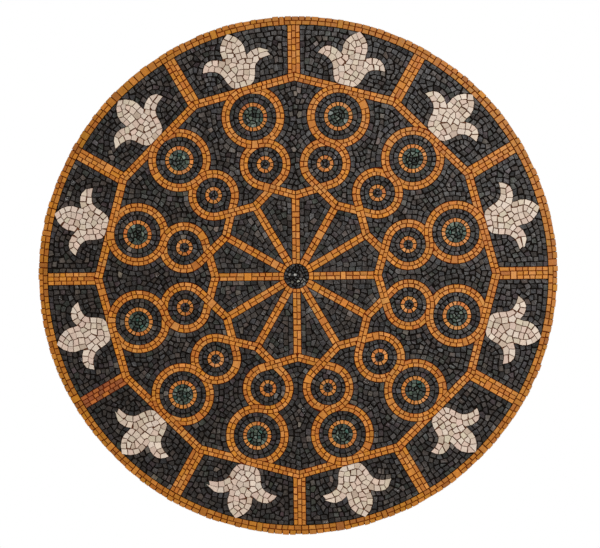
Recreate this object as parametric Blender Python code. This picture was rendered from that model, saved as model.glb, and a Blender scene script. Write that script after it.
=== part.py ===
"""Round stone mosaic wall panel: twelve pale lilies round a rosette of interlaced ochre bands.

Tesserae of dark, ochre, cream and green stone lie face up in a thin mortar bed on a glass-fibre net.
The panel stands upright against a wall: X runs to the right, Z up, and the face looks towards -Y.
The origin is the centre of its back, at Y = 0. Each area of one colour is one solid here.
Points on the face are complex numbers: real part to the right, imaginary part up, in metres.
"""
import cmath
import math

import bmesh
import bpy

# Driving dimensions in metres: the disc and its layers, from the wall outwards
DISC_RADIUS = 0.500
NET_INSET = 0.008
NET_THICKNESS = 0.0012
BED_THICKNESS = 0.0020
TESSERA_THICKNESS = 0.0080
CLEARANCE = 0.0003
JOINT = 0.0008

# Widths of the ochre rows: the border, the bars, the other bands, the spokes and the rings in the loops
BORDER_WIDTH = 0.0168
BAR_WIDTH = 0.0238
BAND_WIDTH = 0.0156
SPOKE_WIDTH = 0.0152
RING_WIDTH = 0.0075
SMALL_RING_WIDTH = 0.0073
HUB_RADIUS = 0.0240

# The drawing keeps its proportions on a disc of any size. The twelve-sided band's inscribed circle is
# a share of the field inside the border, and the loops and the star are shares of that circle.
APOTHEM_SHARE = 0.7695
LOOP_SHARE = 0.1428
SMALL_LOOP_SHARE = 0.1115
STAR_SHARE = 0.4222
# The large loops stand off the middle of their sector, to the right in the upper half of the panel
# and to the left in the lower half, by this share of the same circle
SWAY_SHARE = 0.0057
# Rings, to the middle of their row, as shares of the loop round them. A small ring's solid takes in
# the few dark tesserae at its centre.
RING_SHARE = 0.4530
SMALL_RING_SHARE = 0.3115

# How the pattern was laid by hand: turned a little, with its hub off the centre of the disc
TWIST = math.radians(0.76)
HUB_DRIFT = complex(-0.0034, -0.0026)
DRIFT_FADE = 2.5
SIDEWAYS_FADE = 0.2

# Right half of a lily, from the side of its foot to below its tip, in shares of its height: across,
# then outwards. Its petal is what lies further across than PETAL_ROOT.
LILY_HALF = (
    (0.187, 0.000),
    (0.284, 0.190),
    (0.409, 0.390),
    (0.640, 0.438),
    (0.577, 0.578),
    (0.431, 0.632),
    (0.226, 0.556),
    (0.220, 0.715),
    (0.122, 0.918),
)
PETAL_ROOT = 0.29
LEAN = 0.021
DROOP = 0.024
NARROW_LILY = 10
NARROWNESS = 0.91

SECTORS = 12
SECTOR = math.tau / SECTORS
RIM_SIDES = 72
LOOP_SIDES = 14
SMALL_LOOP_SIDES = 9
RING_SIDES = 10
SMALL_RING_SIDES = 8
OUTER_ARC_SIDES = 5
FIELD_ARC_SIDES = 5
WELD = 0.00001
FLAT = math.radians(0.5)

# Depths from the wall, along -Y
BED_BACK = NET_THICKNESS + CLEARANCE
BED_FRONT = BED_BACK + BED_THICKNESS
FACE = BED_FRONT + TESSERA_THICKNESS

# Worked out for one sector, whose middle runs up the imaginary axis
HALF_BAND = BAND_WIDTH / 2
FIELD_RADIUS = DISC_RADIUS - BORDER_WIDTH - JOINT
APOTHEM = APOTHEM_SHARE * FIELD_RADIUS
LOOP_RADIUS = LOOP_SHARE * APOTHEM
SMALL_LOOP_RADIUS = SMALL_LOOP_SHARE * APOTHEM
STAR_RADIUS = STAR_SHARE * APOTHEM
RING_RADIUS = RING_SHARE * LOOP_RADIUS
SMALL_RING_RADIUS = SMALL_RING_SHARE * SMALL_LOOP_RADIUS
LILY_FOOT = complex(0, APOTHEM + HALF_BAND + JOINT)
LILY_HEIGHT = FIELD_RADIUS - LILY_FOOT.imag
LOOP_HEIGHT = APOTHEM - LOOP_RADIUS
SWAY = SWAY_SHARE * APOTHEM
SMALL_LOOP = 1j * (LOOP_HEIGHT - LOOP_RADIUS - SMALL_LOOP_RADIUS)
TO_RIGHT_BAR = cmath.rect(1, math.pi / 2 - SECTOR / 2)
STAR_LEFT = STAR_RADIUS * cmath.rect(1, math.pi / 2 + SECTOR / 2)


def cross(a, b):
    return (a.conjugate() * b).imag


def lines_meet(p, along, q, direction):
    return p + along * cross(q - p, direction) / cross(along, direction)


def mirrored(p):
    return -p.conjugate()


def circle_points(centre, radius, sides):
    return [centre + cmath.rect(radius, math.tau * i / sides) for i in range(sides)]


def arc_points(centre, radius, start, end, sides):
    return [centre + cmath.rect(radius, start + (end - start) * i / sides) for i in range(sides + 1)]


def circles_meet_right(centre, radius, other, other_radius):
    """Where two circles, one below the other, cross on their right side."""
    gap = abs(other - centre)
    along = (radius ** 2 - other_radius ** 2 + gap ** 2) / (2 * gap)
    towards = (other - centre) / gap
    return centre + towards * complex(along, math.sqrt(radius ** 2 - along ** 2))


def touching_angle():
    """Direction from the small loop to where the strand to the left star point leaves its right side."""
    from_loop = STAR_LEFT - SMALL_LOOP
    return cmath.phase(from_loop) + math.acos(SMALL_LOOP_RADIUS / abs(from_loop))


TOUCH = touching_angle()
STRAND = cmath.rect(1, TOUCH - math.pi / 2)


def strand_edge(offset):
    """A point on the line beside that strand, away from the loop's centre by its radius and offset."""
    return SMALL_LOOP + cmath.rect(SMALL_LOOP_RADIUS + offset, TOUCH)


def loop_centre(number):
    return complex(SWAY if number % SECTORS < SECTORS / 2 else -SWAY, LOOP_HEIGHT)


def small_loop_field(half):
    """Inside of a small loop, a drop whose point lies on the crossing of its strands."""
    tip = lines_meet(strand_edge(-half), STRAND, 0j, 1j)
    arc = arc_points(SMALL_LOOP, SMALL_LOOP_RADIUS - half, TOUCH, math.pi - TOUCH, SMALL_LOOP_SIDES)
    return [tip] + arc


def between_loops(half, loop):
    """Right half of the field between two sectors, from the twelve-sided band in to the star."""
    edge = APOTHEM - half
    corner = lines_meet(0j, TO_RIGHT_BAR, complex(0, edge), 1)
    reach = LOOP_RADIUS + half
    small_reach = SMALL_LOOP_RADIUS + half
    start = math.asin((edge - loop.imag) / reach)
    waist = circles_meet_right(loop, reach, SMALL_LOOP, small_reach)
    over = arc_points(loop, reach, start, cmath.phase(waist - loop), OUTER_ARC_SIDES)
    under = arc_points(SMALL_LOOP, small_reach, cmath.phase(waist - SMALL_LOOP), TOUCH, OUTER_ARC_SIDES)[1:]
    lower_edge = mirrored(strand_edge(-half))
    other_way = mirrored(STRAND)
    crossing = lines_meet(strand_edge(half), STRAND, lower_edge, other_way)
    star_point = lines_meet(0j, TO_RIGHT_BAR, lower_edge, other_way)
    return [corner] + over + under + [crossing, star_point]


def in_star(half_spoke, half):
    """The kite between two spokes and two strands of the star."""
    beside_spoke = half_spoke * 1j * TO_RIGHT_BAR
    low = lines_meet(beside_spoke, TO_RIGHT_BAR, 0j, 1j)
    strand = mirrored(strand_edge(half))
    right = lines_meet(beside_spoke, TO_RIGHT_BAR, strand, mirrored(STRAND))
    high = lines_meet(strand, mirrored(STRAND), 0j, 1j)
    return [low, right, high, mirrored(right)]


def bar_side(half_bar, half, end_radius):
    """Foot and end of the near side of the right-hand bar."""
    beside_bar = half_bar * 1j * TO_RIGHT_BAR
    foot = lines_meet(beside_bar, TO_RIGHT_BAR, complex(0, APOTHEM + half), 1)
    end = beside_bar + TO_RIGHT_BAR * math.sqrt(end_radius ** 2 - half_bar ** 2)
    return foot, end


def lily_side(number, side):
    """Foot to tip of one side of a lily, as a right side. Each has its own lean and droop, and one is narrow."""
    lean = LEAN * math.sin(2.3 * number + 0.6)
    breadth = NARROWNESS if number == NARROW_LILY else 1
    droop = DROOP * math.sin(1.7 * number + 1.0)
    points = []
    for across, out in (*LILY_HALF, (0, 1)):
        petal = min(1, max(0, across / PETAL_ROOT - 1))
        place = complex(across * breadth - side * lean * out, out + side * droop * petal)
        points.append(LILY_FOOT + LILY_HEIGHT * place)
    return points


def lily(number):
    left = [mirrored(p) for p in reversed(lily_side(number, -1)[:-1])]
    return lily_side(number, 1) + left


def beside(points, margin):
    """A line that keeps a margin to the right of an open line."""
    steps = [(after - before) / abs(after - before) for before, after in zip(points, points[1:])]
    moved = [points[0] - 1j * steps[0] * margin]
    for point, before, after in zip(points[1:], steps, steps[1:]):
        moved.append(lines_meet(point - 1j * before * margin, before, point - 1j * after * margin, after))
    return moved + [points[-1] - 1j * steps[-1] * margin]


def outer_field(number, side):
    """Half a field between two bars, the twelve-sided band and the border, beside its lily."""
    foot, end = bar_side(BAR_WIDTH / 2 + JOINT, HALF_BAND + JOINT, FIELD_RADIUS)
    petals = beside(lily_side(number, side), JOINT)
    petals[0] = lines_meet(petals[0], petals[1] - petals[0], LILY_FOOT, 1)
    arc = arc_points(0j, FIELD_RADIUS, cmath.phase(end), cmath.phase(petals[-1]), FIELD_ARC_SIDES)
    half = [foot] + arc + petals[-2::-1]
    return half if side > 0 else [mirrored(p) for p in half]


def laid(p):
    """Where a point of the drawing ended up on the panel."""
    turned = p * cmath.rect(1, TWIST)
    reach = abs(turned) / DISC_RADIUS
    outward = turned / abs(turned) if reach else 1
    drift = HUB_DRIFT * outward.conjugate()
    radial = drift.real * (1 - reach ** DRIFT_FADE)
    sideways = drift.imag * (1 - SIDEWAYS_FADE * reach)
    return turned + outward * complex(radial, sideways)


def in_sector(points, number):
    """Points of the drawing of one sector, turned to that sector's place."""
    turn = cmath.rect(1, SECTOR * (number + 0.5) - math.pi / 2)
    return [p * turn for p in points]


def between_sectors(half, number):
    """The whole field between the loops of a sector and those of the one before it."""
    own_side = between_loops(half, loop_centre(number))
    far_side = between_loops(half, mirrored(loop_centre(number - 1)))[1:-1]
    return in_sector(own_side, number) + in_sector([mirrored(p) for p in reversed(far_side)], number - 1)


def lattice_outline(half_bar, half, end_radius):
    points = []
    for number in range(SECTORS):
        foot, end = bar_side(half_bar, half, end_radius)
        points += in_sector([end, foot, mirrored(foot), mirrored(end)], number)
    return points


def material(name, colour, roughness):
    made = bpy.data.materials.new(name)
    made.use_nodes = True
    shader = made.node_tree.nodes["Principled BSDF"]
    shader.inputs["Base Color"].default_value = (*colour, 1)
    shader.inputs["Roughness"].default_value = roughness
    shader.inputs["Metallic"].default_value = 0
    return made


def plate(name, outlines, back, front, finish, collection):
    """A flat plate parallel to the wall, between two depths from it, from its outlines and its holes."""
    curve = bpy.data.curves.new(name, "CURVE")
    curve.dimensions = "2D"
    curve.fill_mode = "BOTH"
    curve.extrude = (front - back) / 2
    for outline in outlines:
        spline = curve.splines.new("POLY")
        spline.points.add(len(outline) - 1)
        for corner, p in zip(spline.points, map(laid, outline)):
            corner.co = (p.real, p.imag, 0, 1)
        spline.use_cyclic_u = True
    drawn = bpy.data.objects.new(name + "_outline", curve)
    drawn.location = (0, -(back + front) / 2, 0)
    drawn.rotation_euler = (math.pi / 2, 0, 0)
    bpy.context.scene.collection.objects.link(drawn)
    bpy.context.view_layer.update()
    mesh = bpy.data.meshes.new_from_object(drawn.evaluated_get(bpy.context.evaluated_depsgraph_get()))
    shell = bmesh.new()
    shell.from_mesh(mesh)
    bmesh.ops.remove_doubles(shell, verts=shell.verts, dist=WELD)
    bmesh.ops.dissolve_limit(shell, angle_limit=FLAT, verts=shell.verts, edges=shell.edges)
    shell.to_mesh(mesh)
    shell.free()
    mesh.name = name
    mesh.materials.clear()
    mesh.materials.append(finish)
    made = bpy.data.objects.new(name, mesh)
    made.matrix_world = drawn.matrix_world
    bpy.data.objects.remove(drawn)
    collection.objects.link(made)
    return made


def dark_field_outlines():
    """Every area of dark stone, one joint back from the colours around it."""
    half = HALF_BAND + JOINT
    outlines = []
    for number in range(SECTORS):
        loop = loop_centre(number)
        outlines += [
            in_sector(outer_field(number, 1), number),
            in_sector(outer_field(number, -1), number),
            in_sector(circle_points(loop, LOOP_RADIUS - half, LOOP_SIDES), number),
            in_sector(circle_points(loop, RING_RADIUS + RING_WIDTH / 2 + JOINT, RING_SIDES), number),
            in_sector(small_loop_field(half), number),
            in_sector(circle_points(SMALL_LOOP, SMALL_RING_RADIUS + SMALL_RING_WIDTH / 2 + JOINT,
                                    SMALL_RING_SIDES), number),
            between_sectors(half, number),
            in_sector(in_star(SPOKE_WIDTH / 2 + JOINT, half), number),
        ]
    return outlines


def lattice_outlines():
    outlines = [lattice_outline(BAR_WIDTH / 2, HALF_BAND, FIELD_RADIUS)]
    for number in range(SECTORS):
        outlines += [
            in_sector(circle_points(loop_centre(number), LOOP_RADIUS - HALF_BAND, LOOP_SIDES), number),
            in_sector(small_loop_field(HALF_BAND), number),
            between_sectors(HALF_BAND, number),
            in_sector(in_star(SPOKE_WIDTH / 2, HALF_BAND), number),
        ]
    outlines.append(circle_points(0j, HUB_RADIUS, SECTORS))
    return outlines


def build_net(finish, collection):
    bpy.ops.mesh.primitive_cylinder_add(vertices=RIM_SIDES, radius=DISC_RADIUS - NET_INSET,
                                        depth=NET_THICKNESS, location=(0, -NET_THICKNESS / 2, 0),
                                        rotation=(math.pi / 2, 0, 0))
    net = bpy.context.object
    net.name = "mesh_backing"
    net.data.materials.append(finish)
    for holder in net.users_collection:
        holder.objects.unlink(net)
    collection.objects.link(net)


def build_dark_field(finish, collection, cutters):
    """The mortar bed and all the dark stone that stands in it, as one body."""
    rim = circle_points(0j, DISC_RADIUS, RIM_SIDES)
    dark_field = plate("dark_field", [rim], BED_BACK, BED_FRONT, finish, collection)
    stone = plate("dark_stone", dark_field_outlines(), (BED_BACK + BED_FRONT) / 2, FACE, finish, cutters)
    stone.hide_render = True
    stone.display_type = "WIRE"
    union = dark_field.modifiers.new("with_stone", "BOOLEAN")
    union.operation = "UNION"
    union.object = stone


def build_colours(finishes, collection):
    """The ochre, cream and green areas, each a plate lying on the bed."""
    def add(name, outlines, finish):
        plate(name, outlines, BED_FRONT + CLEARANCE, FACE, finishes[finish], collection)

    add("border", [circle_points(0j, DISC_RADIUS, RIM_SIDES),
                   circle_points(0j, DISC_RADIUS - BORDER_WIDTH, RIM_SIDES)], "ochre")
    add("lattice", lattice_outlines(), "ochre")
    add("hub_roundel", [circle_points(0j, HUB_RADIUS - JOINT, SECTORS)], "dark")
    for number in range(SECTORS):
        label = f"_{number + 1:02d}"
        loop = loop_centre(number)
        ring = [in_sector(circle_points(loop, RING_RADIUS + side * RING_WIDTH / 2, RING_SIDES), number)
                for side in (1, -1)]
        small_ring = circle_points(SMALL_LOOP, SMALL_RING_RADIUS + SMALL_RING_WIDTH / 2, SMALL_RING_SIDES)
        core = circle_points(loop, RING_RADIUS - RING_WIDTH / 2 - JOINT, RING_SIDES)
        add("lily" + label, [in_sector(lily(number), number)], "cream")
        add("ring" + label, ring, "ochre")
        add("small_ring" + label, [in_sector(small_ring, number)], "ochre")
        add("green_eye" + label, [in_sector(core, number)], "green")


def main():
    for item in list(bpy.data.objects):
        bpy.data.objects.remove(item)
    panel = bpy.data.collections.new("mosaic_panel")
    cutters = bpy.data.collections.new("joined_shapes")
    bpy.context.scene.collection.children.link(panel)
    bpy.context.scene.collection.children.link(cutters)
    finishes = {
        "dark": material("dark_stone", (0.048, 0.045, 0.043), 0.55),
        "ochre": material("ochre_stone", (0.56, 0.19, 0.045), 0.5),
        "cream": material("cream_stone", (0.74, 0.67, 0.58), 0.5),
        "green": material("green_stone", (0.028, 0.045, 0.038), 0.45),
        "net": material("glass_fibre_net", (0.72, 0.72, 0.68), 0.8),
    }
    build_net(finishes["net"], panel)
    build_dark_field(finishes["dark"], panel, cutters)
    build_colours(finishes, panel)


main()
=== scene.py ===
"""Looks of the round stone mosaic panel: every tessera, the mortar in the joints and the net behind.

The pattern is drawn flat, in millimetres, with complex numbers: real part to the right, imaginary part up.
One sector, a twelfth of the disc, is drawn with its middle on the imaginary axis and turned into its place.
"""

import cmath
import math
import random

import bpy
import numpy as np
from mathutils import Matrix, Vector


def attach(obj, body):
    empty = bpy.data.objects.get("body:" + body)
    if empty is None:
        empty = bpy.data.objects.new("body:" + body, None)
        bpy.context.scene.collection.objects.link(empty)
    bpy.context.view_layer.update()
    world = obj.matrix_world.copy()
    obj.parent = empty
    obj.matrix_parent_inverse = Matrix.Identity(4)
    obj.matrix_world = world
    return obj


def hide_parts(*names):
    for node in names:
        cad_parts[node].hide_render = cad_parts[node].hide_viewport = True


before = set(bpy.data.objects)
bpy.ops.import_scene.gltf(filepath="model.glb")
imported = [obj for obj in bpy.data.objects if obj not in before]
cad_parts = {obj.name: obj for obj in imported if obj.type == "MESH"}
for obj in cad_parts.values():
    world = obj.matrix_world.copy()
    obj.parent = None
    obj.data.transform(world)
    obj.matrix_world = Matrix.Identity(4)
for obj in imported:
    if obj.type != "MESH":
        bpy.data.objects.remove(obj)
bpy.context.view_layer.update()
chance = random.Random(11)

# The disc and its layers, from the wall outwards along -Y
MM = 0.001
DISC_RADIUS = 500.0
BED_RADIUS = 498.4
NET_RADIUS = 492.0
NET_SPACING = 5.0
THREAD_WIDTH = 1.1
THREAD_THICKNESS = 0.62
THREAD_LIFT = 0.55
BED_BACK = 1.5
STONE_BACK = 3.8
FACE = 11.5
JOINT_DEPTH = 2.2
BED_FRONT = FACE - JOINT_DEPTH

# Bands of ochre tesserae
BORDER_WIDTH = 16.8
BAR_WIDTH = 23.8
BAND_WIDTH = 15.6
SPOKE_WIDTH = 15.2
APOTHEM = 371.2
LOOP_RADIUS = 53.0
SMALL_LOOP_RADIUS = 41.4
STAR_RADIUS = 156.7
HUB_RADIUS = 24.0
RING_RADIUS = 24.0
RING_WIDTH = 7.5
SMALL_RING_RADIUS = 12.9
SMALL_RING_WIDTH = 7.3
# The large loops stand off the middle of their sector, to the right in the upper half of the panel
# and to the left in the lower half
SWAY = 2.1
# A stone that is farther from another band than this isn't cut by it
OUT_OF_REACH = 12
# How far the strands, bars and spokes run on under what cuts their ends to shape
STRAND_RUN_OUT = 12
BAR_RUN_OUT = 8
SPOKE_RUN_OUT = 5
SPOKE_RUN_IN = 4

# How the pattern was laid by hand: turned a little, with its hub off the centre of the disc
TWIST = math.radians(0.76)
HUB_DRIFT = complex(-3.4, -2.6)
DRIFT_FADE = 2.5
SIDEWAYS_FADE = 0.2

# Right half of a lily, from the side of its foot to its tip, in shares of its height
LILY_HALF = (
    (0.150, 0.000), (0.214, 0.040), (0.258, 0.120), (0.288, 0.200), (0.309, 0.277),
    (0.345, 0.341), (0.412, 0.392), (0.510, 0.426), (0.650, 0.436), (0.618, 0.508),
    (0.572, 0.574), (0.502, 0.616), (0.431, 0.625), (0.332, 0.609), (0.229, 0.556),
    (0.224, 0.630), (0.231, 0.710), (0.203, 0.815), (0.128, 0.922), (0, 1.02),
)
PETAL_ROOT = 0.29
# How each lily leans and droops its petals: the most, the step from lily to lily and the start
LEAN = (0.021, 2.3, 0.6)
DROOP = (0.024, 1.7, 1.0)
NARROW_LILY = 10
NARROWNESS = 0.91
BROWN_BAR = 7

# Tesserae: the length and breadth they are cut to, and how many are in a ring
BORDER_LENGTH = 13.5
WIDE_LENGTH = 14.5
BAR_LENGTH = 12.8
SPOKE_LENGTH = 13.5
LOOP_LENGTH = 11.0
DARK_LENGTH = 12.4
DARK_PITCH = 9.6
IN_LOOP_LENGTH = 10.0
IN_SMALL_LOOP_LENGTH = 9.5
CREAM_LENGTH = 13.5
CREAM_PITCH = 11.0
RING_COUNTS = (18, 19, 20)
SMALL_RING_COUNTS = (9, 10)
# Rings of shards in the hub: their radius and how many
HUB_RINGS = ((3.2, 3), (9.4, 9), (15.4, 14), (21.0, 19))
CHAMFER = 0.45
RAGGED_EDGE = 0.9
# Big stones that take the place of two rows: how far apart, how long, and how far off a band's end
LOOP_BIG_EVERY = 190.0
BORDER_BIG_EVERY = 95.0
BAR_BIG_EVERY = 80.0
SPOKE_BIG_EVERY = 90.0
BIG_LENGTH = (10, 16)
BIG_STONES_END = 42.0
# A stone of a row that is cut to less than this share is joined to the next, and a sliver is left out
LEAST_SHARE = 0.45
LONE_SHARE = 0.2
SLIVER = 0.04
# Shortest side and least area of a stone cut to fill a field, and of a shard
SHORTEST_SIDE = 3.8
LEAST_AREA = 14.0
SHARD_SIDE = 1.4
SHARD_AREA = 4.0

# Joints between the stones: in the bands, between their rows, in the fields, and how much single ones differ
JOINT = 1.45
ROW_JOINT = JOINT * 0.6
RING_JOINT = 0.3
DARK_JOINT = 1.3
LOOP_JOINT = 1.15
STAR_JOINT = 0.9
SHARD_JOINT = 1.05
CREAM_JOINT = 0.65
JOINT_CHANGE = (0.2, 2.1)
SHARD_JOINT_CHANGE = (0.1, 3.0)

# How the stones of a field follow its edges: the higher, the squarer they stand to the nearest edge
FIELD_SQUARENESS = 7
LILY_SQUARENESS = 2.5
EYE_SQUARENESS = 2
SMALL_EYE_SQUARENESS = 1.5
HUB_SQUARENESS = 1.3
# How a field is filled: rounds of settling, rows beside the edges and the step of the grid for the rest
SETTLING_ROUNDS = 2
EDGE_ROWS = 6
GRID_STEP = 2.2
# The block that a stone is cut from, and the neighbours and edges that cut it
LARGEST_REACH = 22
LARGEST_CORNERS = 8
NEIGHBOURS = 21
NEIGHBOUR_REACH = 30
EDGE_REACH = 18
EDGE_STEP = 6

# The rim's outer edge swells in and out: how many swells round the disc, how far, and their phase
RIM_SWELL = 0.9
RIM_WAVES = ((2, 0.57, -1.2), (3, 0.41, -1.2), (4, 0.32, -0.35), (5, 0.44, 2.5), (11, 0.38, -1.4))
# The stretch of the border that has one row of wide stones
WIDE_STONES = (math.radians(123), math.radians(137))

SECTORS = 12
SECTOR = math.tau / SECTORS
HALF_BAND = BAND_WIDTH / 2
FIELD_RADIUS = DISC_RADIUS - BORDER_WIDTH
LOOP_HEIGHT = APOTHEM - LOOP_RADIUS
SMALL_LOOP = 1j * (LOOP_HEIGHT - LOOP_RADIUS - SMALL_LOOP_RADIUS)
TO_RIGHT_BAR = cmath.rect(1, math.pi / 2 - SECTOR / 2)
TO_LEFT_BAR = cmath.rect(1, math.pi / 2 + SECTOR / 2)
LILY_FOOT = complex(0, APOTHEM + HALF_BAND)
LILY_HEIGHT = FIELD_RADIUS - LILY_FOOT.imag
BAR_FOOT = (APOTHEM + HALF_BAND) / math.cos(SECTOR / 2)


# Drawing

def cross(a, b):
    return (a.conjugate() * b).imag


def along(a, b):
    return (a.conjugate() * b).real


def lines_meet(p, way, q, other_way):
    return p + way * cross(q - p, other_way) / cross(way, other_way)


def mirrored(p):
    return -p.conjugate()


def reflected(polygon):
    return [mirrored(p) for p in reversed(polygon)]


def arc_points(centre, radius, start, end, step=2.5):
    count = max(1, math.ceil(abs(end - start) * radius / step))
    return [centre + cmath.rect(radius, start + (end - start) * i / count) for i in range(count + 1)]


def circle_points(centre, radius, step=2.5):
    return arc_points(centre, radius, 0, math.tau, step)[:-1]


def circles_meet_right(centre, radius, other, other_radius):
    """Where two circles, one below the other, cross on their right side."""
    gap = abs(other - centre)
    reach = (radius ** 2 - other_radius ** 2 + gap ** 2) / (2 * gap)
    return centre + (other - centre) / gap * complex(reach, math.sqrt(radius ** 2 - reach ** 2))


def touching_angle():
    """Direction from the small loop to where the strand to the left star point leaves its right side."""
    from_loop = STAR_RADIUS * TO_LEFT_BAR - SMALL_LOOP
    return cmath.phase(from_loop) + math.acos(SMALL_LOOP_RADIUS / abs(from_loop))


TOUCH = touching_angle()
STRAND = cmath.rect(1, TOUCH - math.pi / 2)


def strand_edge(offset):
    return SMALL_LOOP + cmath.rect(SMALL_LOOP_RADIUS + offset, TOUCH)


def loop_centre(number):
    return complex(SWAY if number % SECTORS < SECTORS / 2 else -SWAY, LOOP_HEIGHT)


def small_loop_field(half):
    """Inside of a small loop, a drop whose point lies on the crossing of its strands."""
    tip = lines_meet(strand_edge(-half), STRAND, 0j, 1j)
    return [tip] + arc_points(SMALL_LOOP, SMALL_LOOP_RADIUS - half, TOUCH, math.pi - TOUCH)


def between_loops(half, loop):
    """Right half of the field between two sectors, from the twelve-sided band in to the star."""
    edge = APOTHEM - half
    corner = lines_meet(0j, TO_RIGHT_BAR, complex(0, edge), 1)
    reach = LOOP_RADIUS + half
    small_reach = SMALL_LOOP_RADIUS + half
    waist = circles_meet_right(loop, reach, SMALL_LOOP, small_reach)
    over = arc_points(loop, reach, math.asin((edge - loop.imag) / reach), cmath.phase(waist - loop))
    under = arc_points(SMALL_LOOP, small_reach, cmath.phase(waist - SMALL_LOOP), TOUCH)[1:]
    lower_edge = mirrored(strand_edge(-half))
    crossing = lines_meet(strand_edge(half), STRAND, lower_edge, mirrored(STRAND))
    star_point = lines_meet(0j, TO_RIGHT_BAR, lower_edge, mirrored(STRAND))
    return [corner] + over + under + [crossing, star_point]


def in_star(half_spoke, half):
    """The kite between two spokes and two strands of the star."""
    beside_spoke = half_spoke * 1j * TO_RIGHT_BAR
    low = lines_meet(beside_spoke, TO_RIGHT_BAR, 0j, 1j)
    strand = mirrored(strand_edge(half))
    right = lines_meet(beside_spoke, TO_RIGHT_BAR, strand, mirrored(STRAND))
    high = lines_meet(strand, mirrored(STRAND), 0j, 1j)
    return [low, right, high, mirrored(right)]


def lily_side(number, side):
    """Foot to tip of one side of a lily, as a right side. One lily is narrow."""
    lean, droop = [most * math.sin(step * number + start) for most, step, start in (LEAN, DROOP)]
    breadth = NARROWNESS if number == NARROW_LILY else 1
    points = []
    for across, out in LILY_HALF:
        petal = min(1, max(0, across / PETAL_ROOT - 1))
        place = complex(across * breadth - side * lean * out, out + side * droop * petal)
        points.append(LILY_FOOT + LILY_HEIGHT * place)
    return points


def lily(number):
    return lily_side(number, 1) + reflected(lily_side(number, -1)[:-1])


def outer_field(number, side):
    """Half a field between two bars, the twelve-sided band and the border, beside its lily."""
    beside_bar = BAR_WIDTH / 2 * 1j * TO_RIGHT_BAR
    foot = lines_meet(beside_bar, TO_RIGHT_BAR, complex(0, APOTHEM + HALF_BAND), 1)
    end = beside_bar + TO_RIGHT_BAR * math.sqrt(FIELD_RADIUS ** 2 - (BAR_WIDTH / 2) ** 2)
    petals = lily_side(number, side)
    under_border = arc_points(0j, FIELD_RADIUS, cmath.phase(end), cmath.phase(petals[-1]))
    half = [foot] + under_border + petals[-2::-1]
    return half if side > 0 else reflected(half)


def laid(p):
    """Where a point of the drawing ended up on the panel."""
    turned = p * cmath.rect(1, TWIST)
    reach = abs(turned) / DISC_RADIUS
    outward = turned / abs(turned) if reach else 1
    drift = HUB_DRIFT * outward.conjugate()
    radial = drift.real * (1 - reach ** DRIFT_FADE)
    sideways = drift.imag * (1 - SIDEWAYS_FADE * reach)
    return turned + outward * complex(radial, sideways)


def sector_turn(number):
    return cmath.rect(1, SECTOR * (number + 0.5) - math.pi / 2)


def in_sector(points, number):
    return [p * sector_turn(number) for p in points]


def between_sectors(half, number):
    """The whole field between the loops of a sector and those of the one before it."""
    own_side = between_loops(half, loop_centre(number))
    far_side = between_loops(half, mirrored(loop_centre(number - 1)))[1:-1]
    return in_sector(own_side, number) + in_sector(reflected(far_side), number - 1)


# Cutting stones to shape

def area(polygon):
    return sum(cross(p, q) for p, q in zip(polygon, polygon[1:] + polygon[:1])) / 2


def middle(polygon):
    return sum(polygon) / len(polygon)


def cut(polygon, point, inward):
    """What is left of a convex polygon on the inward side of a line through the point."""
    depths = [along(inward, p - point) for p in polygon]
    if not depths or min(depths) >= 0:
        return polygon
    kept = []
    for i, p in enumerate(polygon):
        before = depths[i - 1]
        here = depths[i]
        if (before < 0) != (here < 0):
            kept.append(polygon[i - 1] + (p - polygon[i - 1]) * before / (before - here))
        if here >= 0:
            kept.append(p)
    return kept


class Path:
    """The middle line of a band, with places on it given by their distance along it."""

    def __init__(self, points, closed=False):
        points = list(points) + ([points[0]] if closed else [])
        self.points = np.array(points)
        self.lengths = np.concatenate([[0], np.cumsum(abs(np.diff(self.points)))])
        self.length = self.lengths[-1]
        self.closed = closed

    def at(self, distance):
        if self.closed:
            distance %= self.length
        return complex(np.interp(distance, self.lengths, self.points.real),
                       np.interp(distance, self.lengths, self.points.imag))

    def beside(self, distance, offset):
        """A place to the left of the path by this offset."""
        way = self.at(distance + 0.5) - self.at(distance - 0.5)
        return self.at(distance) + 1j * offset * way / abs(way)

    def cut_clear(self, polygon, half):
        """What a band of this half width, lying on top, leaves of a stone."""
        corners = np.array(polygon)
        gaps = abs(corners[:, None] - self.points[None, :])
        nearest = gaps.argmin(axis=1)
        reach = gaps[np.arange(len(corners)), nearest]
        best = reach.argmax()
        if reach.min() > half + OUT_OF_REACH:
            return polygon
        foot = self.points[nearest[best]]
        away = (corners[best] - foot) / max(reach[best], 1e-6)
        return cut(polygon, complex(foot + away * half), complex(away))


def with_few_corners(polygon, shortest):
    """A stone whose shortest sides are drawn together, so that it has four corners or five."""
    polygon = list(polygon)
    while len(polygon) > 4:
        sides = [abs(p - polygon[i - 1]) for i, p in enumerate(polygon)]
        i = sides.index(min(sides))
        if sides[i] > shortest and len(polygon) < 6:
            break
        polygon[i - 1] = (polygon[i] + polygon[i - 1]) / 2
        del polygon[i]
    return polygon


def trimmed(polygon, cuts):
    for trim in cuts:
        polygon = trim(polygon) if polygon else polygon
    return polygon


def shared_out(total, length):
    """Ends of stones of uneven length that fill a run."""
    count = max(1, round(total / length))
    sizes = [chance.uniform(0.78, 1.22) for _ in range(count)]
    scale = total / sum(sizes)
    ends = [0.0]
    for size in sizes:
        ends.append(ends[-1] + size * scale)
    return ends


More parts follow.
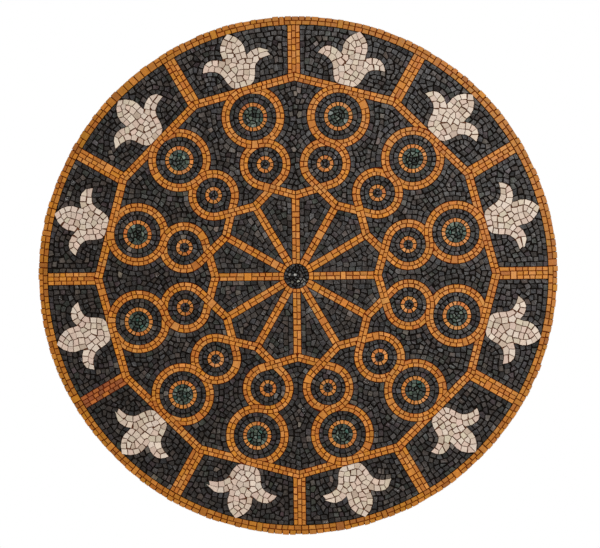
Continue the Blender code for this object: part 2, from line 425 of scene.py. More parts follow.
def row(path, offset, width, length, cuts=(), start=0.0, end=None, ragged=0.0):
    """Stones laid along one side of a path. A stone that would be cut to a sliver is joined to the next."""
    end = path.length if end is None else end
    halfway = (start + end) / 2
    probe = abs(path.beside(halfway + 1, offset) - path.beside(halfway - 1, offset)) / 2
    ends = [start + e / probe for e in shared_out((end - start) * probe, length)]
    skews = [0.0] + [chance.uniform(-0.5, 0.5) for _ in ends[2:]] + [0.0]

    def stone(first, last):
        near = offset - width / 2 + chance.uniform(0, 0.35)
        far = offset + width / 2 - chance.uniform(0, 0.35) + ragged * chance.uniform(-1, 1)
        gap = JOINT / 2 * chance.uniform(0.7, 1.5) / probe
        a = ends[first] + gap
        b = ends[last] - gap
        polygon = [path.beside(a - skews[first], near), path.beside(b - skews[last], near),
                   path.beside(b + skews[last], far), path.beside(a + skews[first], far)]
        if area(polygon) < 0:
            polygon.reverse()
        whole = area(polygon)
        polygon = trimmed(polygon, cuts)
        return polygon, (area(polygon) / whole if len(polygon) > 2 else 0)

    count = len(ends) - 1
    shares = [stone(i, i + 1)[1] for i in range(count)]
    spans = {i: [i, i + 1] for i in range(count) if shares[i] >= LEAST_SHARE}
    for i in range(count):
        if SLIVER < shares[i] < LEAST_SHARE:
            if i - 1 in spans:
                spans[i - 1][1] = i + 1
            elif i + 1 in spans:
                spans[i + 1][0] = i
            elif shares[i] > LONE_SHARE:
                spans[i] = [i, i + 1]
    stones = [stone(*spans[i])[0] for i in sorted(spans)]
    return [s for s in stones if len(s) > 2]


def band(path, width, rows, length, cuts=(), big_every=LOOP_BIG_EVERY, ragged=0.0):
    """Rows side by side. Here and there one big stone takes the place of two rows."""
    pitch = width / rows
    stones = []
    gaps = [[] for _ in range(rows)]
    place = big_every * chance.uniform(0.1, 1.2)
    while place < path.length - BIG_STONES_END:
        size = chance.uniform(*BIG_LENGTH)
        low = chance.randrange(rows - 1)
        across = (low + 1 - rows / 2) * pitch
        footprint = [path.beside(place + size * k, across + pitch * side) for k, side in
                     ((0, -1), (1, -1), (1, 1), (0, 1))]
        left = trimmed(footprint, cuts)
        if len(left) > 2 and abs(area(left)) > 0.97 * abs(area(footprint)):
            stones += row(path, across, 2 * pitch - ROW_JOINT, size, (), place, place + size)
            for i in (low, low + 1):
                gaps[i].append((place, place + size))
        place += size + big_every * chance.uniform(0.4, 1.6)
    for i in range(rows):
        offset = (i - (rows - 1) / 2) * pitch
        outermost = ragged if i == rows - 1 else 0
        start = 0.0
        for gap in gaps[i] + [(path.length, path.length)]:
            stones += row(path, offset, pitch - ROW_JOINT, length, cuts, start, gap[0], outermost)
            start = gap[1]
    return stones


def largest_stone(p):
    """The round block that a stone is cut from."""
    return [p + LARGEST_REACH * cmath.rect(1, math.tau * (k + 0.5) / LARGEST_CORNERS)
            for k in range(LARGEST_CORNERS)]


def squared_up(step, both_ways, squareness):
    """The direction from a stone to the next, turned towards the rows that the two stand in.
    Ways are to the fourth power, so that a stone's four sides count as one."""
    way = (both_ways / abs(both_ways)) ** 0.25 if abs(both_ways) > 0.2 else 1
    local = step / way
    squared = complex(math.copysign(abs(local.real) ** squareness, local.real),
                      math.copysign(abs(local.imag) ** squareness, local.imag))
    return way * squared / abs(squared)


class Field:
    """An area filled with stones whose rows follow its edges. Outlines have the area on their left."""

    def __init__(self, outlines):
        self.outlines = outlines
        places, ways, runs = [], [], []
        run = 0
        for outline in outlines:
            corners = [p for i, p in enumerate(outline) if abs(p - outline[i - 1]) > 1e-6]
            turned = np.roll(np.array(corners), -1) - np.array(corners)
            bent = 0.0
            for i, (p, way) in enumerate(zip(corners, turned)):
                bend = cmath.phase(way / turned[i - 1])
                bent += bend
                if abs(bend) > math.radians(24) or abs(bent) > math.radians(60):
                    run += 1
                    bent = 0.0
                count = max(1, math.ceil(abs(way)))
                for k in range(count):
                    places.append(p + way * (k + 0.5) / count)
                    ways.append(way / abs(way))
                    runs.append(run)
            run += 1
        self.places, self.ways, self.runs = np.array(places), np.array(ways), np.array(runs)
        corners = np.array([p for outline in outlines for p in outline])
        self.low = complex(corners.real.min(), corners.imag.min())
        self.high = complex(corners.real.max(), corners.imag.max())

    def holds(self, p):
        inside = False
        for outline in self.outlines:
            for a, b in zip(outline, outline[1:] + outline[:1]):
                if (a.imag > p.imag) != (b.imag > p.imag):
                    if p.real < a.real + (b.real - a.real) * (p.imag - a.imag) / (b.imag - a.imag):
                        inside = not inside
        return inside

    def depth(self, p):
        return abs(self.places - p).min()

    def edge_way(self, p):
        return complex(self.ways[abs(self.places - p).argmin()])

    def seeds(self, pitch, length):
        """Middles of the stones: rows beside the edges, then whatever fits in what is left."""
        found = []

        def clear(p, least):
            return not found or abs(np.array(found) - p).min() >= least

        for level in range(EDGE_ROWS):
            deep = pitch * (level + 0.5)
            travelled = chance.uniform(0, length)
            wanted = 0.0
            last = None
            for place, way in zip(self.places, self.ways):
                p = complex(place + 1j * way * deep)
                travelled += abs(p - last) if last is not None and abs(p - last) < 4 * pitch else 0
                last = p
                if travelled < wanted or self.depth(p) < deep - 0.5 or not self.holds(p):
                    continue
                if clear(p, 0.74 * min(pitch, length)):
                    found.append(p)
                    travelled = 0.0
                    wanted = length * chance.uniform(0.82, 1.18)
        spots = [complex(x, y) for x in np.arange(self.low.real, self.high.real, GRID_STEP)
                 for y in np.arange(self.low.imag, self.high.imag, GRID_STEP)]
        chance.shuffle(spots)
        for p in spots:
            if clear(p, 0.84 * pitch) and self.depth(p) > 0.36 * pitch and self.holds(p):
                found.append(p)
        return found

    def edge_cuts(self, p, reach):
        """Lines that keep a stone round p inside the area, as points and inward directions."""
        gaps = abs(self.places - p)
        for run in set(self.runs[gaps < reach]):
            mine = np.flatnonzero(self.runs == run)
            nearest = mine[gaps[mine].argmin()]
            foot = self.places[nearest]
            inward = (p - foot) / max(gaps[nearest], 1e-6)
            if abs(along(inward, self.ways[nearest])) > 0.35 and gaps[nearest] > gaps.min() + 0.01:
                continue
            yield complex(foot), complex(inward)
            for step in (-EDGE_STEP, EDGE_STEP):
                other = nearest + step
                if mine[0] <= other <= mine[-1]:
                    place, way = self.places[other], 1j * self.ways[other]
                    if along(way, foot - place) >= -0.02 and along(way, p - place) > 0:
                        yield complex(place), complex(way)

    def stones(self, seeds, squareness, gap):
        """One convex stone round each seed. They settle to even sizes."""
        return self.fitted(seeds, squareness, gap, SETTLING_ROUNDS, JOINT_CHANGE, SHORTEST_SIDE, LEAST_AREA)

    def shards(self, seeds, squareness, gap):
        """One convex stone round each seed, as uneven as the seeds are."""
        return self.fitted(seeds, squareness, gap, 0, SHARD_JOINT_CHANGE, SHARD_SIDE, SHARD_AREA)

    def fitted(self, seeds, squareness, gap, rounds, change, shortest, least_area):
        sways = [chance.gauss(0, 0.12) for _ in seeds]
        for turn in range(rounds + 1):
            ways = [(self.edge_way(p) * cmath.rect(1, sway)) ** 4 for p, sway in zip(seeds, sways)]
            centres = np.array(seeds)
            stones, kept = [], []
            for i, p in enumerate(seeds):
                polygon = largest_stone(p)
                gaps = abs(centres - p)
                for j in np.argsort(gaps)[1:NEIGHBOURS + 1]:
                    if gaps[j] > NEIGHBOUR_REACH:
                        break
                    inward = -squared_up(seeds[j] - p, ways[i] + ways[j], squareness)
                    slack = gap / 2 * (1 if turn < rounds else chance.uniform(*change))
                    polygon = cut(polygon, (p + seeds[j]) / 2 + inward * slack, inward)
                for point, inward in self.edge_cuts(p, EDGE_REACH):
                    polygon = cut(polygon, point + inward * gap / 2, inward)
                if turn == rounds:
                    polygon = with_few_corners(polygon, shortest)
                if len(polygon) > 2 and area(polygon) > least_area:
                    stones.append(polygon)
                    kept.append(sways[i])
            if turn < rounds:
                seeds = [middle(s) for s in stones]
                sways = kept
        return stones


def wheel_seeds(centre, rings):
    """Seeds on rings round a centre: each ring gives its radius and how many."""
    seeds = []
    for radius, count in rings:
        turn = chance.uniform(0, math.tau)
        for k in range(count):
            angle = turn + math.tau * (k + chance.uniform(-0.18, 0.18)) / count
            seeds.append(centre + cmath.rect(radius * chance.uniform(0.85, 1.15), angle))
    return seeds


# Stones of every area

def strand_path(sway):
    """From the right corner of the twelve-sided band, round both loops, to the left point of the star."""
    loop = complex(sway, LOOP_HEIGHT)
    corner = complex(APOTHEM * math.tan(SECTOR / 2), APOTHEM)
    touch = strand_edge(0)
    star = STAR_RADIUS * TO_LEFT_BAR
    run_in = [corner + STRAND_RUN_OUT - k for k in range(int(corner.real + STRAND_RUN_OUT - sway))]
    run_out = [touch + STRAND * k for k in range(1, int(abs(star - touch) + STRAND_RUN_OUT))]
    to_small = SMALL_LOOP - loop
    leave = cmath.phase(to_small) - math.acos((LOOP_RADIUS + SMALL_LOOP_RADIUS) / abs(to_small))
    return (run_in + arc_points(loop, LOOP_RADIUS, math.pi / 2, math.tau + leave, 1.0)
            + arc_points(SMALL_LOOP, SMALL_LOOP_RADIUS, math.pi + leave, TOUCH, 1.0) + run_out)


def strand_lines(number):
    """Middle lines of a sector's two strands, turned into their place."""
    lines = [strand_path(SWAY), [mirrored(p) for p in strand_path(-SWAY)]]
    if number >= SECTORS / 2:
        lines = [[mirrored(p) for p in line] for line in lines]
    return [Path(in_sector(line[STRAND_RUN_OUT:-STRAND_RUN_OUT], number)) for line in lines]


def crossing_near(p):
    return "top" if p.imag > LOOP_HEIGHT else "waist" if p.imag > SMALL_LOOP.imag else "low"


def strands(number):
    """Both strands of a sector. Each passes over the other at some crossings and under it at the rest."""
    def beneath(points, *crossings):
        """Cuts a strand where it passes under the other, the mirror image of these points."""
        parts = {name: Path([mirrored(p) for p in points if crossing_near(p) == name]) for name in crossings}

        def trim(polygon):
            crossing = crossing_near(middle(polygon))
            if crossing in parts:
                polygon = parts[crossing].cut_clear(polygon, HALF_BAND + 0.3)
            for side in (1, -1):
                edge = 1j * side * cmath.rect(1, math.pi / 2 - side * SECTOR / 2)
                polygon = cut(polygon, edge * JOINT / 2, edge)
            return polygon
        return trim

    points = strand_path(SWAY)
    other_points = strand_path(-SWAY)
    stones = band(Path(points), BAND_WIDTH, 2, LOOP_LENGTH, [beneath(other_points, "low")])
    other = band(Path(other_points), BAND_WIDTH, 2, LOOP_LENGTH, [beneath(points, "top", "waist")])
    stones += [reflected(s) for s in other]
    if number >= SECTORS / 2:
        stones = [reflected(s) for s in stones]
    return [in_sector(s, number) for s in stones]


def radial_path(number, start, end):
    return Path([cmath.rect(r, SECTOR * number) for r in range(round(start), round(end) + 1)])


def bar_path(number):
    return radial_path(number, BAR_FOOT - BAR_RUN_OUT, FIELD_RADIUS)


def bar(number):
    """Three rows from a corner of the twelve-sided band to the border."""
    way = cmath.rect(1, SECTOR * number)
    corner = (BAR_FOOT + JOINT / 2) * way

    def foot(polygon):
        side = 1 if cross(way, middle(polygon)) > 0 else -1
        return cut(polygon, corner, cmath.rect(1, SECTOR * (number + side / 2)))

    return band(bar_path(number), BAR_WIDTH, 3, BAR_LENGTH, [foot], BAR_BIG_EVERY)


def spoke(number):
    """Two rows from a point of the star to the hub, cut to a wedge where the spokes meet."""
    way = cmath.rect(1, SECTOR * number)
    path = radial_path(number, HUB_RADIUS - SPOKE_RUN_IN, STAR_RADIUS + SPOKE_RUN_OUT)
    edge = strand_edge(HALF_BAND + JOINT / 2) * sector_turn(number - 1) / way
    inward = cmath.rect(1, TOUCH) * sector_turn(number - 1) / way

    def ends(polygon):
        away = middle(polygon) / abs(middle(polygon))
        polygon = cut(polygon, away * (HUB_RADIUS + JOINT / 2), away)
        for side in (1, -1):
            beside = -side * 1j * cmath.rect(1, SECTOR * (number + side / 2))
            polygon = cut(polygon, beside * JOINT / 2, beside)
        if polygon and cross(way, middle(polygon)) > 0:
            return cut(polygon, edge.conjugate() * way, inward.conjugate() * way)
        return cut(polygon, edge * way, inward * way)

    return band(path, SPOKE_WIDTH, 2, SPOKE_LENGTH, [ends], SPOKE_BIG_EVERY)


def swollen(p):
    """Where the waves of the rim take a point of the border."""
    share = max(0, (abs(p) - FIELD_RADIUS) / BORDER_WIDTH)
    waves = sum(size * math.cos(count * cmath.phase(p) + phase) for count, size, phase in RIM_WAVES)
    return p + p / abs(p) * share * (RIM_SWELL + waves)


def border():
    """Two rows round the rim, or one row of wide stones."""
    radius = DISC_RADIUS - BORDER_WIDTH / 2
    start, end = WIDE_STONES
    wide = Path(arc_points(0j, radius, end, start, 2))
    rest = Path(arc_points(0j, radius, start, end - math.tau, 2))
    stones = row(wide, 0, BORDER_WIDTH - ROW_JOINT, WIDE_LENGTH, ragged=RAGGED_EDGE)
    stones += band(rest, BORDER_WIDTH, 2, BORDER_LENGTH, (), BORDER_BIG_EVERY, RAGGED_EDGE)
    return [[swollen(p) for p in stone] for stone in stones]


def ring(number, centre, radius, width, counts):
    path = Path(circle_points(centre, radius, 1), closed=True)
    stones = row(path, 0, width - RING_JOINT, math.tau * radius / chance.choice(counts))
    return [in_sector(stone, number) for stone in stones]


def eye(number, centre, radius, rings, squareness):
    """A disc of shards inside a ring of a sector."""
    field = Field([in_sector(circle_points(centre, radius, 1), number)])
    return field.shards(in_sector(wheel_seeds(centre, rings), number), squareness, SHARD_JOINT)


def small_eye(number):
    rings = [(1.8, 1), (6.3, chance.choice((5, 6)))]
    return eye(number, SMALL_LOOP, SMALL_RING_RADIUS - SMALL_RING_WIDTH / 2, rings, SMALL_EYE_SQUARENESS)


def green_eye(number):
    counts = [chance.choice((4, 5)), chance.choice((6, 7)), chance.choice((11, 12, 13, 14))]
    rings = zip((4.5, 10.5, 16.5), counts)
    return eye(number, loop_centre(number), RING_RADIUS - RING_WIDTH / 2, rings, EYE_SQUARENESS)


def hub():
    field = Field([circle_points(0j, HUB_RADIUS, 1)])
    return field.shards(wheel_seeds(0j, HUB_RINGS), HUB_SQUARENESS, SHARD_JOINT)


def leftwards(points):
    return points if area(points) > 0 else points[::-1]


def filled(outlines, pitch, length, joint):
    """Stones in rows beside the edges of an area: its outline, then its hole if it has one."""
    field = Field([leftwards(outlines[0])] + outlines[1:])
    return field.stones(field.seeds(pitch, length), FIELD_SQUARENESS, joint)


def dark_fields(number):
    """All the dark areas of a sector, and the one between it and the next."""
    loop = loop_centre(number)
    loop_edge = circle_points(loop, LOOP_RADIUS - HALF_BAND)
    loop_hole = circle_points(loop, RING_RADIUS + RING_WIDTH / 2)[::-1]
    small_hole = circle_points(SMALL_LOOP, SMALL_RING_RADIUS + SMALL_RING_WIDTH / 2)[::-1]
    loop_width = LOOP_RADIUS - HALF_BAND - RING_RADIUS - RING_WIDTH / 2
    small_width = SMALL_LOOP_RADIUS - HALF_BAND - SMALL_RING_RADIUS - SMALL_RING_WIDTH / 2
    shapes = [
        ([outer_field(number, 1)], DARK_PITCH, DARK_LENGTH, DARK_JOINT),
        ([outer_field(number, -1)], DARK_PITCH, DARK_LENGTH, DARK_JOINT),
        ([loop_edge, loop_hole], loop_width / 2, IN_LOOP_LENGTH, LOOP_JOINT),
        ([small_loop_field(HALF_BAND), small_hole], small_width / 2, IN_SMALL_LOOP_LENGTH, LOOP_JOINT),
        ([in_star(SPOKE_WIDTH / 2, HALF_BAND)], DARK_PITCH, DARK_LENGTH, STAR_JOINT),
    ]
    stones = small_eye(number)
    for outlines, pitch, length, joint in shapes:
        stones += filled([in_sector(outline, number) for outline in outlines], pitch, length, joint)
    return stones + filled([between_sectors(HALF_BAND, number)], DARK_PITCH, DARK_LENGTH, DARK_JOINT)


def lily_outline(number):
    return in_sector(leftwards(lily(number)), number)


def lily_stones(number):
    petals = Field([lily_outline(number)])
    return petals.shards(petals.seeds(CREAM_PITCH, CREAM_LENGTH), LILY_SQUARENESS, CREAM_JOINT)


# Colours of single stones

def linear(red, green, blue):
    """A colour from 0 to 255, as the shader takes it."""
    shares = [c / 255 for c in (red, green, blue)]
    return [s / 12.92 if s <= 0.04045 else ((s + 0.055) / 1.055) ** 2.4 for s in shares]


# Colours read off the photograph's stones, from 0 to 255, and the share of the stones that have each
PALETTES = {
    "ochre": [
        (201, 126, 42, 5), (210, 137, 60, 3), (196, 118, 36, 3), (188, 109, 32, 1),
        (202, 126, 28, 2),
    ],
    "border": [
        (185, 114, 24, 5), (192, 121, 38, 3), (178, 106, 22, 3), (166, 97, 24, 1),
        (186, 118, 16, 2),
    ],
    "brown": [
        (158, 84, 36, 3), (176, 98, 37, 2), (144, 78, 36, 2), (195, 117, 38, 2),
    ],
    "ring": [
        (205, 130, 56, 4), (199, 119, 46, 3), (212, 141, 76, 2), (192, 108, 44, 1),
    ],
    "dark": [
        (40, 32, 27, 6), (31, 25, 21, 4), (53, 44, 38, 3), (44, 32, 33, 1.5),
        (35, 36, 28, 1.5), (37, 34, 35, 1), (78, 69, 61, 0.8),
    ],
    "shard": [
        (30, 27, 25, 6), (16, 14, 13, 5), (56, 51, 47, 3), (118, 114, 108, 1.3),
    ],
    "green": [
        (54, 66, 56, 4), (30, 39, 32, 3.5), (72, 84, 72, 3), (38, 72, 62, 0.7),
        (88, 98, 88, 1),
    ],
    "cream": [
        (218, 197, 178, 5), (225, 207, 189, 3), (217, 191, 173, 3), (212, 195, 172, 2),
        (198, 176, 155, 1.2),
    ],
}
# How much the stones of a kind differ: in brightness, in hue, in the rise of their tops and in their tilt
SPREAD = {
    "ochre": (0.07, 0.02, 0.12, 0.015),
    "border": (0.07, 0.02, 0.12, 0.015),
    "brown": (0.10, 0.03, 0.12, 0.015),
    "ring": (0.09, 0.03, 0.12, 0.015),
    "dark": (0.40, 0.03, 0.40, 0.09),
    "shard": (0.5, 0.03, 0.5, 0.12),
    "green": (0.32, 0.03, 0.50, 0.11),
    "cream": (0.05, 0.008, 0.12, 0.012),
}
MORTAR_TINT = (*linear(40, 34, 30), 0.5)


def stone_colour(kind):
    palette = PALETTES[kind]
    uneven, off_hue = SPREAD[kind][:2]
    base = linear(*chance.choices(palette, [share for *colour, share in palette])[0][:3])
    bright = math.exp(min(0.6, chance.gauss(0, uneven)))
    return [min(0.95, c * bright * math.exp(chance.gauss(0, off_hue))) for c in base]


# Stones as meshes

def on_panel(p, depth):
    return p.real * MM, -depth * MM, p.imag * MM


class Stones:
    """Gathers the stones of one piece and makes its mesh."""

    def __init__(self, name):
        self.name = name
        self.corners, self.faces, self.slots, self.tints = [], [], [], []
        self.finishes = []

    def slot_of(self, finish):
        if finish not in self.finishes:
            self.finishes.append(finish)
        return self.finishes.index(finish)

    def add_faces(self, corners, faces, finish, tint):
        first = len(self.corners)
        self.corners += corners
        self.faces += [[first + i for i in face] for face in faces]
        self.slots += [self.slot_of(finish)] * len(faces)
        self.tints += [tint] * len(corners)

    def add_stone(self, polygon, kind, finish, worn):
        """A stone with a chamfered, slightly tilted and uneven top, closed at its back."""
        polygon = with_worn_edges(polygon) if worn else polygon
        polygon = [laid(p) for p in polygon]
        centre = middle(polygon)
        rise, slope = SPREAD[kind][2:]
        tilt = cmath.rect(chance.gauss(0, slope), chance.uniform(0, math.tau))
        front = FACE - abs(chance.gauss(0, 0.12)) - 0.05
        chamfer = CHAMFER * chance.uniform(0.7, 1.3)
        count = len(polygon)

        def lifted(p, depth):
            return on_panel(p, depth + along(tilt, p - centre))

        inner = [p + (centre - p) * min(0.4, chamfer / max(abs(centre - p), 1e-3)) for p in polygon]
        peak = centre + cmath.rect(1.5 * chance.random(), chance.uniform(0, math.tau))
        corners = [on_panel(p, STONE_BACK) for p in polygon]
        corners += [lifted(p, front - chamfer) for p in polygon]
        corners += [lifted(p, front) for p in inner]
        corners.append(lifted(peak, front + chance.uniform(-1, 1) * rise))
        faces = [list(range(count))[::-1]]
        for i in range(count):
            j = (i + 1) % count
            faces += [[i, j, count + j, count + i],
                      [count + i, count + j, 2 * count + j, 2 * count + i],
                      [2 * count + i, 2 * count + j, 3 * count]]
        tint = (*stone_colour(kind), chance.random())
        self.add_faces(corners, faces, finish, tint)

    def made(self):
        mesh = bpy.data.meshes.new(self.name)
        mesh.from_pydata(self.corners, [], self.faces)
        mesh.polygons.foreach_set("material_index", self.slots)
        tints = mesh.color_attributes.new("stone", "FLOAT_COLOR", "POINT")
        tints.data.foreach_set("color", np.array(self.tints, dtype=np.float32).ravel())
        for finish in self.finishes:
            mesh.materials.append(finish)
        mesh.update()
        piece = bpy.data.objects.new(self.name, mesh)
        bpy.context.scene.collection.objects.link(piece)
        return piece


def with_worn_edges(polygon):
    """A stone's outline with some corners knocked off and its long edges not quite straight."""
    worn = []
    count = len(polygon)
    for i, p in enumerate(polygon):
        before, after = polygon[i - 1], polygon[(i + 1) % count]
        to_before, to_after = before - p, after - p
        if chance.random() < 0.4 and min(abs(to_before), abs(to_after)) > 3:
            nick = chance.uniform(0.3, 1.0)
            worn += [p + to_before / abs(to_before) * nick, p + to_after / abs(to_after) * nick]
        else:
            worn.append(p)
        if abs(to_after) > 5:
            inward = 1j * to_after / abs(to_after)
            worn.append(p + to_after * chance.uniform(0.35, 0.65) + inward * chance.uniform(0, 0.3))
    return worn


# Materials

def add_node(tree, kind, values=(), **settings):
    """A shader node with these settings, and these values at its inputs."""
    node = tree.nodes.new("ShaderNode" + kind)
    for name, value in settings.items():
        setattr(node, name, value)
    for socket, value in dict(values).items():
        node.inputs[socket].default_value = value
    return node


def join(source, target):
    source.id_data.links.new(source, target)


def new_material(name):
    made = bpy.data.materials.new(name)
    made.use_nodes = True
    made.node_tree.nodes.clear()
    output = add_node(made.node_tree, "OutputMaterial")
    shader = add_node(made.node_tree, "BsdfPrincipled")
    join(shader.outputs["BSDF"], output.inputs["Surface"])
    return made, made.node_tree, shader


def noise(vector, scale, detail, roughness):
    texture = add_node(vector.id_data, "TexNoise", {"Scale": scale, "Detail": detail, "Roughness": roughness})
    join(vector, texture.inputs["Vector"])
    return texture.outputs["Fac"]


def ramp(value, low, high, start, end):
    """A value carried from the range low to high into the range start to end."""
    ends = {"From Min": low, "From Max": high, "To Min": start, "To Max": end}
    node = add_node(value.id_data, "MapRange", ends)
    join(value, node.inputs["Value"])
    return node.outputs["Result"]


def multiply(a, b):
    node = add_node(a.id_data, "Math", operation="MULTIPLY")
    join(a, node.inputs[0])
    join(b, node.inputs[1])
    return node.outputs["Value"]


def add_relief(shader, height, distance, strength):
    relief = add_node(shader.id_data, "Bump", {"Distance": distance, "Strength": strength})
    join(height, relief.inputs["Height"])
    join(relief.outputs["Normal"], shader.inputs["Normal"])


def shifted_place(amount):
    """Places on the piece, moved far off by a stone's own amount, so that no two have the same grain."""
    tree = amount.id_data
    spread = add_node(tree, "CombineXYZ")
    for axis, number in zip("XYZ", (3.1, 7.7, 5.3)):
        far = add_node(tree, "Math", {1: number}, operation="MULTIPLY")
        join(amount, far.inputs[0])
        join(far.outputs["Value"], spread.inputs[axis])
    shift = add_node(tree, "VectorMath", operation="ADD")
    join(add_node(tree, "TexCoord").outputs["Object"], shift.inputs[0])
    join(spread.outputs["Vector"], shift.inputs[1])
    return shift.outputs["Vector"]


def stone_material(name, grain, mottle, roughness, shine, bump, pits=0.0, glint_share=0.0):
    """Cut stone. Each stone's own colour comes from its mesh, and its grain starts at another place.
    Pits are small dark holes. Painted glints are white spots of painted highlight in the colour of this share
    of the stones."""
    made, tree, shader = new_material(name)
    own = add_node(tree, "Attribute", attribute_name="stone")
    vector = shifted_place(own.outputs["Alpha"])
    fine = noise(vector, 520, 6, 0.65)
    broad = noise(vector, 160, 3, 0.5)
    grains = ramp(fine, 0.3, 0.7, 1 - grain, 1 + grain)
    shade = multiply(grains, ramp(broad, 0.3, 0.7, 1 - mottle, 1 + mottle))
    if pits:
        shade = multiply(shade, ramp(noise(vector, 420, 2, 0.4), 0.25, 0.36, 1 - pits, 1))
    tint = add_node(tree, "VectorMath", operation="SCALE")
    join(own.outputs["Color"], tint.inputs[0])
    join(shade, tint.inputs["Scale"])
    colour = tint.outputs["Vector"]
    # Painted glints: white spots painted into the colour of a few stones, standing in for highlights
    if glint_share:
        spots = ramp(noise(vector, 620, 1, 0.3), 0.68, 0.71, 0, 1)
        glinting_stones = ramp(own.outputs["Alpha"], 1 - glint_share - 0.001, 1 - glint_share, 0, 1)
        with_painted_glints = add_node(tree, "Mix", data_type="RGBA")
        with_painted_glints.inputs["B"].default_value = (0.75, 0.73, 0.70, 1)
        join(multiply(spots, glinting_stones), with_painted_glints.inputs["Factor"])
        join(colour, with_painted_glints.inputs["A"])
        colour = with_painted_glints.outputs["Result"]
    join(colour, shader.inputs["Base Color"])
    join(ramp(broad, 0.3, 0.7, roughness - 0.1, roughness + 0.1), shader.inputs["Roughness"])
    shader.inputs["Specular IOR Level"].default_value = shine
    add_relief(shader, noise(vector, 420, 6, 0.6), bump, 0.6)
    return made


def mortar_material(name, colour, uneven, roughness, scale):
    made, tree, shader = new_material(name)
    place = add_node(tree, "TexCoord").outputs["Object"]
    mix = add_node(tree, "Mix", data_type="RGBA")
    mix.inputs["A"].default_value = (*[c * (1 - uneven) for c in colour], 1)
    mix.inputs["B"].default_value = (*[min(1, c * (1 + uneven)) for c in colour], 1)
    join(ramp(noise(place, scale, 5, 0.6), 0.3, 0.7, 0, 1), mix.inputs["Factor"])
    join(mix.outputs["Result"], shader.inputs["Base Color"])
    shader.inputs["Roughness"].default_value = roughness
    shader.inputs["Specular IOR Level"].default_value = 0.05
    add_relief(shader, noise(place, 700, 6, 0.65), 0.0006, 0.7)
    return made


# Pieces

def slab(stones, outline, back, front, finish, tint):
    """A flat slab between two depths. Its outline goes round leftwards."""
    count = len(outline)
    corners = [on_panel(p, depth) for depth in (back, front) for p in outline]
    faces = [list(range(count))[::-1], list(range(count, 2 * count))]
    faces += [[i, (i + 1) % count, count + (i + 1) % count, count + i] for i in range(count)]
    stones.add_faces(corners, faces, finish, tint)


def panel_bed(stones, finish):
    """The mortar behind all the stones, whose edge follows the waves of the rim."""
    rim = [laid(swollen(p)) for p in circle_points(0j, BED_RADIUS, 3)]
    slab(stones, rim, BED_BACK, BED_FRONT, finish, MORTAR_TINT)


def lily_bed(stones, number, finish):
    """The mortar under a lily, just above the bed of the panel."""
    high = BED_FRONT + 0.3
    slab(stones, [laid(p) for p in lily_outline(number)], high - 1, high, finish, MORTAR_TINT)


def mortar_bed(stones, path, width, finish):
    """A flat ribbon of mortar along the middle of a band, just above the bed of the panel."""
    count = max(3, math.ceil(path.length / 5))
    sections = count if path.closed else count + 1
    high = BED_FRONT + chance.uniform(0.2, 0.4)
    corners = []
    for i in range(sections):
        for side, depth in ((-1, high - 1), (1, high - 1), (1, high), (-1, high)):
            corners.append(on_panel(laid(path.beside(path.length * i / count, side * width / 2)), depth))
    faces = []
    for i in range(count):
        a, b = 4 * i, 4 * ((i + 1) % sections)
        faces += [[a + k, a + (k + 1) % 4, b + (k + 1) % 4, b + k] for k in range(4)]
    if not path.closed:
        last = 4 * count
        faces += [[0, 3, 2, 1], [last, last + 1, last + 2, last + 3]]
    stones.add_faces(corners, faces, finish, MORTAR_TINT)


def net_threads(finish):
    """Crossed threads, cut off at the net's round edge."""
    net = Stones("glass_fibre_net")
    for level, way in enumerate((1, 1j)):
        for line in np.arange(-NET_RADIUS + 2, NET_RADIUS - 1, NET_SPACING):
            reach = math.sqrt(NET_RADIUS ** 2 - line ** 2)
            wander = chance.uniform(-0.4, 0.4)
            start, end = complex(-reach, line + wander) * way, complex(reach, line - wander) * way
            side = 1j * (end - start) / abs(end - start) * THREAD_WIDTH / 2
            back = THREAD_LIFT * level
            slab(net, [start - side, end - side, end + side, start + side], back, back + THREAD_THICKNESS,
                 finish, (*linear(225, 225, 218), chance.random()))
    return net


def place_piece(stones, slot, *nodes):
    piece = stones.made()
    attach(piece, "root")
    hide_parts(*nodes)


def place_stones(name, slot, node, stones, kind, finish, worn=True):
    gathered = Stones(name)
    for stone in stones:
        gathered.add_stone(stone, kind, finish, worn)
    place_piece(gathered, slot, node)


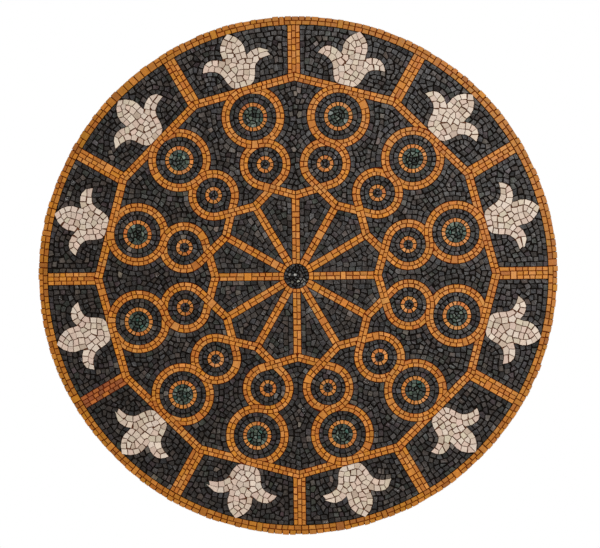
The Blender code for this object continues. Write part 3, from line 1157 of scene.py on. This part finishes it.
def build_panel():
    ochre = stone_material("ochre_stone", 0.13, 0.13, 0.50, 0.32, 0.0003)
    # The dark stones get painted glints: white spots of painted highlight in the colour of a few of them
    dark = stone_material("dark_stone", 0.50, 0.42, 0.43, 0.42, 0.0010, glint_share=0.008)
    green = stone_material("green_stone", 0.40, 0.35, 0.42, 0.36, 0.0008)
    cream = stone_material("cream_stone", 0.04, 0.05, 0.50, 0.3, 0.0003, pits=0.35)
    mortar = mortar_material("mortar", linear(22, 17, 14), 0.35, 0.95, 60)
    brown_mortar = mortar_material("brown_mortar", linear(100, 32, 7), 0.3, 0.95, 60)
    tan_mortar = mortar_material("tan_mortar", linear(92, 55, 34), 0.35, 0.95, 60)
    fibre = mortar_material("glass_fibre", linear(226, 226, 218), 0.06, 0.6, 300)

    field = Stones("dark_stones_and_mortar")
    panel_bed(field, mortar)
    lattice = Stones("ochre_bands")
    under_border = Path(circle_points(0j, (FIELD_RADIUS + BED_RADIUS) / 2), closed=True)
    mortar_bed(field, under_border, BED_RADIUS - FIELD_RADIUS - 2, brown_mortar)
    for number in range(SECTORS):
        label = f"_{number + 1:02d}"
        for path in strand_lines(number):
            mortar_bed(field, path, BAND_WIDTH, brown_mortar)
        mortar_bed(field, bar_path(number), BAR_WIDTH, brown_mortar)
        mortar_bed(field, radial_path(number, HUB_RADIUS, STAR_RADIUS), SPOKE_WIDTH, brown_mortar)
        lily_bed(field, number, tan_mortar)
        for stone in dark_fields(number):
            field.add_stone(stone, "dark", dark, False)
        for stone in strands(number) + spoke(number):
            lattice.add_stone(stone, "ochre", ochre, True)
        for stone in bar(number):
            lattice.add_stone(stone, "brown" if number == BROWN_BAR else "ochre", ochre, True)
        place_stones("cream_lily" + label, "cream_stone", "lily" + label, lily_stones(number), "cream", cream)
        large = ring(number, loop_centre(number), RING_RADIUS, RING_WIDTH, RING_COUNTS)
        place_stones("ochre_ring" + label, "ochre_stone", "ring" + label, large, "ring", ochre)
        small = ring(number, SMALL_LOOP, SMALL_RING_RADIUS, SMALL_RING_WIDTH, SMALL_RING_COUNTS)
        place_stones("small_ochre_ring" + label, "ochre_stone", "small_ring" + label, small, "ring", ochre)
        place_stones("green_eye_stones" + label, "green_stone", "green_eye" + label,
                     green_eye(number), "green", green, False)
    place_piece(field, "dark_stone", "dark_field")
    place_piece(lattice, "ochre_stone", "lattice")
    place_stones("ochre_border", "ochre_stone", "border", border(), "border", ochre)
    place_stones("hub_stones", "dark_stone", "hub_roundel", hub(), "shard", dark, False)
    place_piece(net_threads(fibre), "net", "mesh_backing")


# Setting

WORLD_LIGHT = 0.11
CAMERA_DISTANCE = 4.5
SENSOR_WIDTH = 36.0
FRAME_PIXELS = 600
DISC_RADIUS_PIXELS = 259.0
# The middle of the photograph's frame, from the middle of the disc, in the photograph's pixels
FRAME_RIGHT = 1.84
FRAME_UP = 0.86


def build_camera():
    data = bpy.data.cameras.new("camera")
    data.sensor_width = SENSOR_WIDTH
    image_radius = SENSOR_WIDTH * DISC_RADIUS_PIXELS / FRAME_PIXELS
    data.lens = image_radius * CAMERA_DISTANCE / (DISC_RADIUS * MM)
    camera = bpy.data.objects.new("camera", data)
    pixel = DISC_RADIUS * MM / DISC_RADIUS_PIXELS
    camera.location = (FRAME_RIGHT * pixel, -CAMERA_DISTANCE - FACE * MM, FRAME_UP * pixel)
    camera.rotation_euler = (math.pi / 2, 0, 0)
    bpy.context.scene.collection.objects.link(camera)
    bpy.context.scene.camera = camera


def area_light(name, place, size, power):
    data = bpy.data.lights.new(name, "AREA")
    data.shape = "DISK"
    data.size = size
    data.energy = power
    light = bpy.data.objects.new(name, data)
    light.location = place
    light.rotation_euler = (-Vector(place)).to_track_quat("-Z", "Y").to_euler()
    bpy.context.scene.collection.objects.link(light)


def build_setting():
    world = bpy.data.worlds.new("white_studio")
    world.use_nodes = True
    nodes = world.node_tree.nodes
    nodes["Background"].inputs["Color"].default_value = (1, 1, 1, 1)
    # White where the camera sees it, and a softer light on the stones
    seen = nodes.new("ShaderNodeLightPath").outputs["Is Camera Ray"]
    join(ramp(seen, 0, 1, WORLD_LIGHT, 1), nodes["Background"].inputs["Strength"])
    bpy.context.scene.world = world
    bpy.context.scene.view_settings.view_transform = "Standard"
    area_light("key_right", (1.45, -3.6, 1.1), 1.0, 108)
    area_light("fill_left", (-2.3, -1.4, -0.4), 1.2, 9)
    area_light("behind_left", (-2.0, 2.8, 1.6), 1.6, 45)
    area_light("behind_right", (2.2, 2.4, 2.0), 1.6, 35)
    bpy.ops.mesh.primitive_plane_add(size=6, location=(0, 0, -0.95))
    floor = bpy.context.object
    floor.name = "studio_floor"
    floor.data.materials.append(mortar_material("pale_floor", linear(235, 235, 233), 0.02, 0.8, 3))


build_panel()
build_camera()
build_setting()
